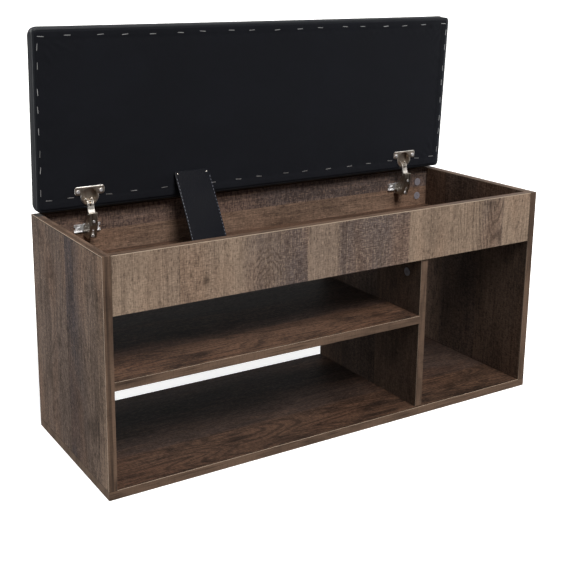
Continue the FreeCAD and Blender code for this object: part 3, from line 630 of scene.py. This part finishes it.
def board_prints():
    """The wood print of each board."""
    mid = (MID_PALE, MID_GREY, MID_DARK)
    level_tones = (RED_BROWN, times(MID_GREY, 0.85), times(MID_DARK, 0.75))
    boards = {
        "apron": ("z", "x", APRON_SPAN, APRON_PLANKS, (PALE, GREY, DARK), APRON_MARKS, 0.6,
                  [("x", end) for end in APRON_SPAN], APRON_ARCH),
        "left_side": ("z", "y", DEEP, SIDE_PLANKS, (srgb(138, 118, 102), srgb(78, 71, 72), MID_DARK),
                      SIDE_MARKS, 1.1, ON_BASE + UNDER_RIM),
        "right_side": ("z", "y", DEEP, WALL_PLANKS, scaled(mid, 1.25, 1.15, 1.0), WALL_MARKS, 0.75, ON_BASE),
        "back_rail": ("x", "z", TALL, RAIL_PLANKS, scaled(mid, 1.35, 1.35, 1.2), RAIL_MARKS, 0.7),
        "base": ("x", "y", DEEP, LEVEL_PLANKS, scaled((RED_BROWN, MID_GREY, MID_DARK), 0.7, 0.6, 0.5),
                 BASE_MARKS_AND_SHADE, 1.2, (), None, srgb(104, 88, 76)),
        "level": ("x", "y", DEEP, LEVEL_PLANKS, level_tones, LEVEL_MARKS_AND_SHADE, 1.2),
        "floor": ("x", "y", DEEP, FLOOR_PLANKS, level_tones, FLOOR_MARKS, 1.2),
        # painted shade: the divider wears the side wall's print darkened to 0.75, for the shade inside the
        # cubbies
        "upright": ("z", "y", DEEP, WALL_PLANKS, scaled(mid, 0.75, 0.75, 0.8), UPRIGHT_MARKS_AND_SHADE, 0.7),
    }
    return {look: wood(look + "_print", *values) for look, values in boards.items()}


def edge_bands():
    """The bands on the boards' front and top edges, and the dowels' raw beech."""
    return {
        "band_front": edge_band("band_upright", "z", "x", MID_PALE, MID_DARK, "x", joints=ON_BASE),
        "band_left": edge_band("band_left", "z", "x", times(MID_PALE, 1.05), MID_DARK, "x", -0.4935,
                               joints=ON_BASE),
        "band_level": edge_band("band_level", "x", "z", MID_PALE, MID_DARK, "z"),
        "band_top": edge_band("band_rim", "x", "y", times(MID_PALE, 0.9), MID_DARK, "y"),
        # painted shade: the back rail's top band, under the lid, is darkened to 0.35 and 0.5 of the band
        # tones
        "band_plain": edge_band("band_rail_painted_shade", "x", "y", times(MID_PALE, 0.35), times(MID_DARK, 0.5),
                                gloss=0.0),
        "beech": edge_band("raw_beech", "x", "z", srgb(205, 172, 128), srgb(160, 122, 80)),
    }


def make_materials():
    made = {**board_prints(), **edge_bands()}
    for look, (name, colour, rough) in METALS.items():
        made[look] = metal(name, colour, rough, rolled_and_highlit=look == "cup")
    made["leather"] = leatherette("seat_leatherette", srgb(21, 23, 27), 0.42, 0.22)
    made["strap"] = leatherette("strap_leatherette", srgb(11, 12, 17), 0.34, 0.07)
    made["lining"] = backing_cloth("lining_cloth", srgb(17, 18, 22))
    made["cap"] = moulded("grey_cap", srgb(118, 114, 120), 0.4)
    made["thread"] = moulded("pale_thread", srgb(98, 100, 110), 0.7)
    made["chips"] = chips("raw_board")
    return made


# ---- mesh helpers


def shade_smooth(mesh):
    for polygon in mesh.polygons:
        polygon.use_smooth = True


def piece_from(mesh, material, body, placed=Matrix()):
    """A visible piece with its mesh's name, riding on a body."""
    mesh.materials.append(material)
    shade_smooth(mesh)
    thing = add(mesh.name, mesh)
    thing.matrix_world = placed
    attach(thing, body)
    return thing


def mesh_from(name, grid):
    mesh = bpy.data.meshes.new(name)
    grid.to_mesh(mesh)
    grid.free()
    return mesh


def closed_mesh(name, grid):
    bmesh.ops.recalc_face_normals(grid, faces=grid.faces)
    return mesh_from(name, grid)


def join_rings(grid, rings, capped=False):
    """Faces between each closed ring of vertices and the next, and over both ends."""
    count = len(rings[0])
    for first, second in zip(rings, rings[1:]):
        for i in range(count):
            j = (i + 1) % count
            grid.faces.new((first[i], first[j], second[j], second[i]))
    if capped:
        grid.faces.new(list(reversed(rings[0])))
        grid.faces.new(rings[-1])


def modify(thing, kind, **settings):
    return set_all(thing.modifiers.new(kind.lower(), kind), settings)


def apply_modifiers(thing):
    """The modified mesh becomes the mesh."""
    graph = bpy.context.evaluated_depsgraph_get()
    final = bpy.data.meshes.new_from_object(thing.evaluated_get(graph))
    thing.modifiers.clear()
    thing.data = final


def read_points(mesh):
    points = np.zeros(len(mesh.vertices) * 3, np.float64)
    mesh.vertices.foreach_get("co", points)
    return points.reshape(-1, 3)


def write_points(mesh, points):
    mesh.vertices.foreach_set("co", points.astype(np.float32).ravel())
    mesh.update()


def smoothstep(values, low, high):
    share = np.clip((values - low) / (high - low), 0.0, 1.0)
    return share * share * (3 - 2 * share)


def hump(values, width):
    """1 at zero, falling off smoothly on both sides."""
    return np.exp(-(values / width) ** 2)


def corner_parts(x, y, half_x, half_y, radius):
    """How far a place is into a rounded corner's square, along and across, and whether it is in it."""
    dx = np.maximum(np.abs(x) - (half_x - radius), 0.0)
    dy = np.maximum(np.abs(y) - (half_y - radius), 0.0)
    return dx, dy, (dx > 0) & (dy > 0)


def outward(x, y, half_x, half_y, radius):
    """Unit plan directions away from a rounded rectangle's middle, square to its nearest edge."""
    dx, dy, in_corner = corner_parts(x, y, half_x, half_y, radius)
    to_end = (half_x - np.abs(x)) < (half_y - np.abs(y))
    length = np.maximum(np.hypot(dx, dy), 1e-9)
    ux = np.where(in_corner, dx / length, np.where(to_end, 1.0, 0.0)) * np.sign(x)
    uy = np.where(in_corner, dy / length, np.where(to_end, 0.0, 1.0)) * np.sign(y)
    return np.stack([ux, uy], axis=1)


def rounded_inside(x, y, half_x, half_y, radius):
    """Distance inside a rounded rectangle's edge; negative outside."""
    dx, dy, in_corner = corner_parts(x, y, half_x, half_y, radius)
    straight = np.minimum(half_x - np.abs(x), half_y - np.abs(y))
    return np.where(in_corner, radius - np.hypot(dx, dy), straight)


def corner_gaps(x, y, half_x, half_y):
    """For each corner of a rectangle, the distances from its two edges."""
    for sign_x in (-1, 1):
        for sign_y in (-1, 1):
            yield half_x - sign_x * x, half_y - sign_y * y


def ray(gap_x, gap_y, lean, width):
    """1 on the line that runs in from a corner with the given lean, falling off on both sides."""
    return hump((gap_y - gap_x * lean) / math.hypot(1, lean), width)


def from_cup(x, y):
    """Distance from the centre of the nearer hinge cup."""
    return np.hypot(np.abs(x) - CUP_X, y - CUP_Y)


# ---- carried-over CAD nodes


def soften(thing, width):
    """Joins the faces' split corners and rounds the arrises slightly."""
    modify(thing, "WELD", merge_threshold=0.00001)
    modify(thing, "BEVEL", width=width, segments=2, limit_method="ANGLE", angle_limit=math.radians(35.0))


def dress(materials):
    """Gives each CAD node its material and rounds the arrises of boards and fittings."""
    look_of = {node: look for look, nodes in WORN_BY.items() for node in nodes.split()}
    for name, thing in NODES.items():
        look = look_of.get(name, "nickel")
        thing.data.materials.clear()
        thing.data.materials.append(materials[look])
        if look in BEVELS:
            soften(thing, BEVELS[look])


# ---- the padded lid

PAD_HEIGHT = 0.0375
PAD_TOP_ROUND = 0.008
PUFF = 0.006
CLOTH_FRAMES = 20
CLOTH = {
    "quality": 6, "mass": 0.3, "use_pressure": True, "uniform_pressure_force": 4.0,
    "tension_stiffness": 18.0, "compression_stiffness": 18.0, "shear_stiffness": 8.0,
    "bending_stiffness": 0.6, "vertex_group_mass": "held", "pin_stiffness": 1.0,
}


def staple_places():
    """Each staple's centre on the shut lid's underside."""
    mesh = NODES["lining_staples"].data
    shut = OPENED.inverted()
    grid = bmesh.new()
    grid.from_mesh(mesh)
    bmesh.ops.remove_doubles(grid, verts=grid.verts, dist=1e-6)
    seen, found = set(), []
    for start in grid.verts:
        if start in seen:
            continue
        island, queue = [], [start]
        seen.add(start)
        while queue:
            vert = queue.pop()
            island.append(shut @ vert.co)
            for edge in vert.link_edges:
                other = edge.other_vert(vert)
                if other not in seen:
                    seen.add(other)
                    queue.append(other)
        xs, ys = [p.x for p in island], [p.y for p in island]
        found.append(((min(xs) + max(xs)) / 2, (min(ys) + max(ys)) / 2))
    grid.free()
    return np.array(found)


def cushion_blank():
    """The pad before it is inflated: a slab with rounded corners, smaller than the finished pad."""
    low, high = LID_Z + 0.0009, LID_Z + PAD_HEIGHT
    grid = bmesh.new()
    bmesh.ops.create_cube(grid, size=1.0)
    for vert in grid.verts:
        vert.co.x *= 2 * (LID_HALF_X - PAD_INSET)
        vert.co.y *= 2 * (LID_HALF_Y - PAD_INSET)
        vert.co.z = low if vert.co.z < 0 else high
    upright = [e for e in grid.edges if abs(e.verts[0].co.z - e.verts[1].co.z) > 0.01]
    bmesh.ops.bevel(grid, geom=upright, offset=LID_CORNER, segments=4, affect="EDGES", profile=0.5)
    top = [e for e in grid.edges if min(v.co.z for v in e.verts) > high - 1e-5
           and len(e.link_faces) == 2 and any(abs(f.normal.z) < 0.5 for f in e.link_faces)]
    bmesh.ops.bevel(grid, geom=top, offset=PAD_TOP_ROUND, segments=3, affect="EDGES", profile=0.5)
    return mesh_from("seat_cushion", grid)


def inflate(thing, free):
    """Blows the pad up against its cover by cloth simulation; free is each vertex's freedom, 0 to 1."""
    group = thing.vertex_groups.new(name="held")
    for index, share in enumerate(free):
        group.add([index], 1.0 - float(share), "REPLACE")
    before = read_points(thing.data)
    cloth = modify(thing, "CLOTH")
    set_all(cloth.settings, CLOTH)
    cloth.settings.effector_weights.gravity = 0.0
    cloth.collision_settings.use_collision = False
    cloth.collision_settings.use_self_collision = False
    cloth.point_cache.frame_start = 1
    cloth.point_cache.frame_end = CLOTH_FRAMES
    for number in range(1, CLOTH_FRAMES + 1):
        bpy.context.scene.frame_set(number)
    apply_modifiers(thing)
    move = read_points(thing.data) - before
    length = np.linalg.norm(move, axis=1)
    limited = PUFF * np.tanh(length / PUFF)
    move *= (limited / np.maximum(length, 1e-9))[:, None]
    move *= free[:, None]
    write_points(thing.data, before + move)
    bpy.context.scene.frame_set(1)


def seat_cushion(materials):
    """The leatherette pad: flat where the board backs it, crowned above and pulled in at its corners."""
    thing = piece_from(cushion_blank(), materials["leather"], "lid", OPENED)
    modify(thing, "REMESH", mode="VOXEL", voxel_size=0.005)
    apply_modifiers(thing)
    height = read_points(thing.data)[:, 2] - LID_Z
    free = np.clip((height - 0.014) / 0.012, 0.0, 1.0)
    inflate(thing, free)
    modify(thing, "SMOOTH", factor=0.5, iterations=4)
    modify(thing, "SUBSURF", levels=1, render_levels=1)
    apply_modifiers(thing)
    shade_smooth(thing.data)
    thing.data.materials.clear()
    thing.data.materials.append(materials["leather"])
    shape_pad(thing)
    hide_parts("seat_cover", "foam_pad")


def shape_pad(thing):
    """Squares the pad's lower edge round the board, fills out its sides and pleats its corners."""
    turn = 0.008
    points = read_points(thing.data)
    x, y = points[:, 0], points[:, 1]
    height = points[:, 2] - LID_Z
    inside = rounded_inside(x, y, LID_HALF_X, LID_HALF_Y, LID_CORNER)
    out = outward(x, y, LID_HALF_X, LID_HALF_Y, LID_CORNER)
    # the lower edge: a nearly square turn in place of a round one
    a = np.maximum(turn - inside + PAD_INSET, 0.0)
    b = np.maximum(turn - height, 0.0)
    both = (a > 0) & (b > 0)
    grown = np.hypot(a, b) / np.maximum((a ** 8 + b ** 8) ** 0.125, 1e-9)
    wanted = np.where(both, turn - a * grown + PAD_INSET, inside)
    lowered = np.where(both, turn - b * grown, height)
    # the sides: filled out above the board, and close against it lower down
    fullness = smoothstep(height, 0.008, 0.022) * (1 - 0.3 * smoothstep(height, 0.032, 0.042))
    fill = PAD_INSET + 0.0028 * fullness
    wanted = wanted - fill * (1 - smoothstep(inside, 0.002, 0.022))
    wanted = np.maximum(wanted, np.where(height < 0.012, 0.0002, -0.0035))
    backed = (height < 0.018) & (inside < 0.005)
    wanted = np.where(backed, np.minimum(wanted, 0.0003), wanted)
    lowered = np.where(lowered < 0.005, PAD_LIFT, lowered)
    points[:, 0] = x + out[:, 0] * (inside - wanted)
    points[:, 1] = y + out[:, 1] * (inside - wanted)
    # the pleats that run in from each upper corner
    for gap_x, gap_y in corner_gaps(x, y, LID_HALF_X, LID_HALF_Y):
        near = 1 - smoothstep(np.hypot(gap_x, gap_y), 0.012, 0.075)
        for lean in (0.62, 1.6):
            pleat = ray(gap_x, gap_y, lean, 0.0042) * near * smoothstep(height, 0.02, 0.036)
            lowered = lowered - 0.0016 * pleat
    # the pockets over the hinge cups
    pocket = (from_cup(x, y) < 0.0205) & (height < 0.012)
    lowered = np.where(pocket, 0.0158, lowered)
    points[:, 2] = LID_Z + np.maximum(lowered, PAD_LIFT)
    write_points(thing.data, points)


# ---- the lining under the lid


def lining_blank(half_x, half_y):
    """A flat sheet with a round hole at each hinge cup."""
    grid = bmesh.new()
    bmesh.ops.create_grid(grid, x_segments=int(round(2 * half_x / LINING_STEP)),
                          y_segments=int(round(2 * half_y / LINING_STEP)), size=0.5)
    for vert in grid.verts:
        vert.co.x *= 2 * half_x
        vert.co.y *= 2 * half_y
        centre = Vector((math.copysign(CUP_X, vert.co.x), CUP_Y))
        away = vert.co.xy - centre
        if abs(away.length - LINING_HOLE) < LINING_STEP * 0.62:
            vert.co.xy = centre + away * (LINING_HOLE / away.length)
    lost = [face for face in grid.faces
            if from_cup(*face.calc_center_median().xy) < LINING_HOLE - 0.0004]
    bmesh.ops.delete(grid, geom=lost, context="FACES")
    return mesh_from("lining_sheet", grid)


def round_corners(points, half_x, half_y, radius):
    """Pulls a sheet's square corners in to rounded ones."""
    x, y = points[:, 0], points[:, 1]
    dx, dy = np.abs(x) - (half_x - radius), np.abs(y) - (half_y - radius)
    out = (dx > 0) & (dy > 0)
    scale = np.where(out, np.maximum(dx, dy) / np.maximum(np.hypot(dx, dy), 1e-9), 1.0)
    points[:, 0] = np.where(out, np.sign(x) * (half_x - radius + dx * scale), x)
    points[:, 1] = np.where(out, np.sign(y) * (half_y - radius + dy * scale), y)


def slack_waves(x, y):
    """Soft random waves over the sheet, -1 to 1."""
    rng = np.random.default_rng(7)
    waves = np.zeros(len(x))
    for _ in range(14):
        angle = rng.uniform(0, math.pi)
        pitch = rng.uniform(14, 60)
        phase = rng.uniform(0, 2 * math.pi)
        waves += np.sin((x * math.cos(angle) + y * math.sin(angle)) * pitch + phase) / pitch
    return waves / np.abs(waves).max()


def corner_creases(x, y, half_x, half_y):
    """Creases that fan out from each corner of the sheet: lean, depth and length of each."""
    fan = ((1.0, 0.0018, 0.07), (0.55, 0.0014, 0.11), (1.9, 0.0013, 0.09), (0.3, 0.001, 0.12))
    creases = np.zeros(len(x))
    for gap_x, gap_y in corner_gaps(x, y, half_x, half_y):
        reach = np.hypot(gap_x, gap_y)
        for lean, depth, long in fan:
            ends = smoothstep(reach, 0.006, 0.02) * (1 - smoothstep(reach, 0.02, long))
            creases += depth * ray(gap_x, gap_y, lean, 0.004) * ends
    return creases


def lining(materials, staples):
    """Backing cloth stapled under the board, turned in at its edges and puckered between staples."""
    half_x, half_y = LID_HALF_X - LINING_MARGIN, LID_HALF_Y - LINING_MARGIN
    mesh = lining_blank(half_x, half_y)
    points = read_points(mesh)
    round_corners(points, half_x, half_y, LINING_CORNER)
    x, y = points[:, 0], points[:, 1]
    from_staple = np.full(len(points), 1.0)
    for place in staples:
        from_staple = np.minimum(from_staple, np.hypot((x - place[0]) / 1.6, y - place[1]))
    edge = rounded_inside(x, y, half_x, half_y, LINING_CORNER)
    loose = 1 - hump(from_staple, 0.016)
    near_edge = hump(edge - 0.012, 0.022)
    pucker = 0.0009 * loose * near_edge * (0.6 + 0.4 * np.sin(x * 310) * np.sin(y * 270))
    belly = 0.0012 * (slack_waves(x, y) * 0.5 + 0.5) * np.clip(edge / 0.05, 0, 1)
    hem = 0.0006 / (1 + np.exp((edge - 0.0135) / 0.0006))
    creases = corner_creases(x, y, half_x, half_y)
    flat = np.clip((from_cup(x, y) - 0.02) / 0.025, 0, 1)
    proud = 0.0001 + (pucker + belly + creases) * flat * loose + hem * flat
    points[:, 2] = LID_Z + 0.00035 - proud
    write_points(mesh, points)
    thing = piece_from(mesh, materials["lining"], "lid", OPENED)
    offset = -1.0 if mesh.polygons[0].normal.z < 0 else 1.0
    modify(thing, "SOLIDIFY", thickness=LINING_THICK, offset=offset)
    apply_modifiers(thing)
    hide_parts("underside_lining")


# ---- the stay strap


def opened_point(back_from_rear, below):
    """(y, z) on the open lid of a point given on the shut one."""
    point = OPENED @ Vector((0.0, LID_HALF_Y - back_from_rear, LID_Z - below))
    return Vector((point.y, point.z))


STRAP_TOP = opened_point(STRAP_FROM_REAR, 0.0016)
STRAP_FOOT = Vector((STRAP_FOOT_Y, FLOOR_TOP + 0.0016))
STRAP_RUN = STRAP_TOP - STRAP_FOOT
STRAP_WAY = STRAP_RUN.normalized()
STRAP_OUT = Vector((-STRAP_WAY.y, STRAP_WAY.x))


def ribbon(name, line, x_range, thick, corner, round_edge=0.0008):
    """A band of even thickness along a line of (y, z) points, its edges and last corners rounded."""
    low, high = x_range
    middle_x, half = (low + high) / 2, (high - low) / 2
    inner = np.linspace(low + 0.004, high - 0.004, 12)
    cuts = [low, low + round_edge * 0.4, low + round_edge * 1.2]
    cuts += list(inner) + [high - round_edge * 1.2, high - round_edge * 0.4, high]
    full = [0.35, 0.8, 1.0] + [1.0] * len(inner) + [1.0, 0.8, 0.35]
    pairs = list(zip(cuts, full))
    grid = bmesh.new()
    rings = []
    for index, point in enumerate(line):
        before = line[max(index - 1, 0)]
        after = line[min(index + 1, len(line) - 1)]
        way = (after - before).normalized()
        out = Vector((-way.y, way.x))
        end = 0.45 if index in (0, len(line) - 1) else 1.0
        to_top = (line[-1] - point).length
        rounded = math.sqrt(max(corner ** 2 - (corner - to_top) ** 2, 0.0))
        narrow = 0.0 if to_top > corner else corner - rounded
        squeeze = (half - narrow) / half
        ring = []
        for side, order in ((1, pairs), (-1, reversed(pairs))):
            for x, share in order:
                place = point + out * (side * thick / 2 * share * end)
                ring.append(grid.verts.new((middle_x + (x - middle_x) * squeeze, place.x, place.y)))
        rings.append(ring)
    join_rings(grid, rings)
    count = len(rings[0])
    for ring in (rings[0], rings[-1]):
        for i in range(count // 2 - 1):
            grid.faces.new((ring[i], ring[i + 1], ring[count - 2 - i], ring[count - 1 - i]))
    return closed_mesh(name, grid)


def bow(share):
    """How far the taut strap bows out at a share of its length."""
    return STRAP_BOW * math.sin(math.pi * share) ** 2


def strap(materials):
    """The band from the compartment floor up to the lid; its line is closest set near the top."""
    shares = [i / 26 for i in range(26)] + [0.975, 0.985, 0.992, 0.9975, 1.0]
    line = [STRAP_FOOT + STRAP_WAY * (STRAP_RUN.length * share) + STRAP_OUT * bow(share) for share in shares]
    mesh = ribbon("stay_strap_band", line, STRAP_X, STRAP_THICK, 0.006)
    thing = piece_from(mesh, materials["strap"], "carcass")
    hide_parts("stay_strap")
    return thing


def strap_tab(materials):
    """The strap's foot, flat on the compartment floor."""
    line = [Vector((STRAP_FOOT_Y + 0.0033 + 0.0245 * i / 10, FLOOR_TOP + 0.0012)) for i in range(11)]
    mesh = ribbon("strap_foot_flap", line, STRAP_X, STRAP_THICK, 0.003)
    thing = piece_from(mesh, materials["strap"], "carcass")
    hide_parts("strap_foot_tab")


def stitches(materials):
    """Pale lock stitches along both long edges of the strap."""
    length = STRAP_RUN.length
    pitch, dash, wide, proud, margin = 0.0074, 0.0042, 0.0011, 0.0004, 0.0022
    profile = ((-0.5, 0.0), (-0.3, 1.0), (0.3, 1.0), (0.5, 0.0))
    grid = bmesh.new()
    for x in (STRAP_X[0] + margin, STRAP_X[1] - margin):
        for i in range(int((length - 0.014) / pitch)):
            middle = 0.004 + pitch * (i + 0.5)
            skin = bow(middle / length) + STRAP_THICK / 2 - 0.0002
            places = [STRAP_FOOT + STRAP_WAY * (middle + run * dash) + STRAP_OUT * (skin + rise * proud)
                      for run, rise in profile]
            rings = [[grid.verts.new((edge, place.x, place.y)) for place in places]
                     for edge in (x - wide / 2, x + wide / 2)]
            join_rings(grid, rings, capped=True)
    mesh = closed_mesh("strap_stitches", grid)
    return piece_from(mesh, materials["thread"], "carcass")


def studs(materials):
    """Two small steel studs at the strap's upper corners."""
    margin = 0.0065
    profile = ((0.0, 0.0013), (0.0004, 0.0012), (0.0006, 0.0007))
    grid = bmesh.new()
    out = Vector((0.0, STRAP_OUT.x, STRAP_OUT.y))
    along = Vector((0.0, STRAP_WAY.x, STRAP_WAY.y))
    for x in (STRAP_X[0] + margin, STRAP_X[1] - margin):
        centre = Vector((x, STRAP_TOP.x, STRAP_TOP.y)) - along * margin + out * (STRAP_THICK / 2 - 0.0001)
        rings = []
        for lift, radius in profile:
            ring = []
            for i in range(12):
                turn = 2 * math.pi * i / 12
                spoke = Vector((1, 0, 0)) * math.cos(turn) + along * math.sin(turn)
                ring.append(grid.verts.new(centre + out * lift + spoke * radius))
            rings.append(ring)
        join_rings(grid, rings, capped=True)
    mesh = closed_mesh("strap_studs", grid)
    return piece_from(mesh, materials["nickel"], "carcass")


def strap_squash(*things):
    """Gives each strap piece a mesh of its own."""
    for thing in things:
        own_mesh(thing)


# ---- everything together

camera()
studio()
floor()
LOOKS = make_materials()
dress(LOOKS)
STAPLES = staple_places()
seat_cushion(LOOKS)
lining(LOOKS, STAPLES)
BAND = strap(LOOKS)
strap_tab(LOOKS)
strap_squash(BAND, stitches(LOOKS), studs(LOOKS))

bpy.context.view_layer.update()
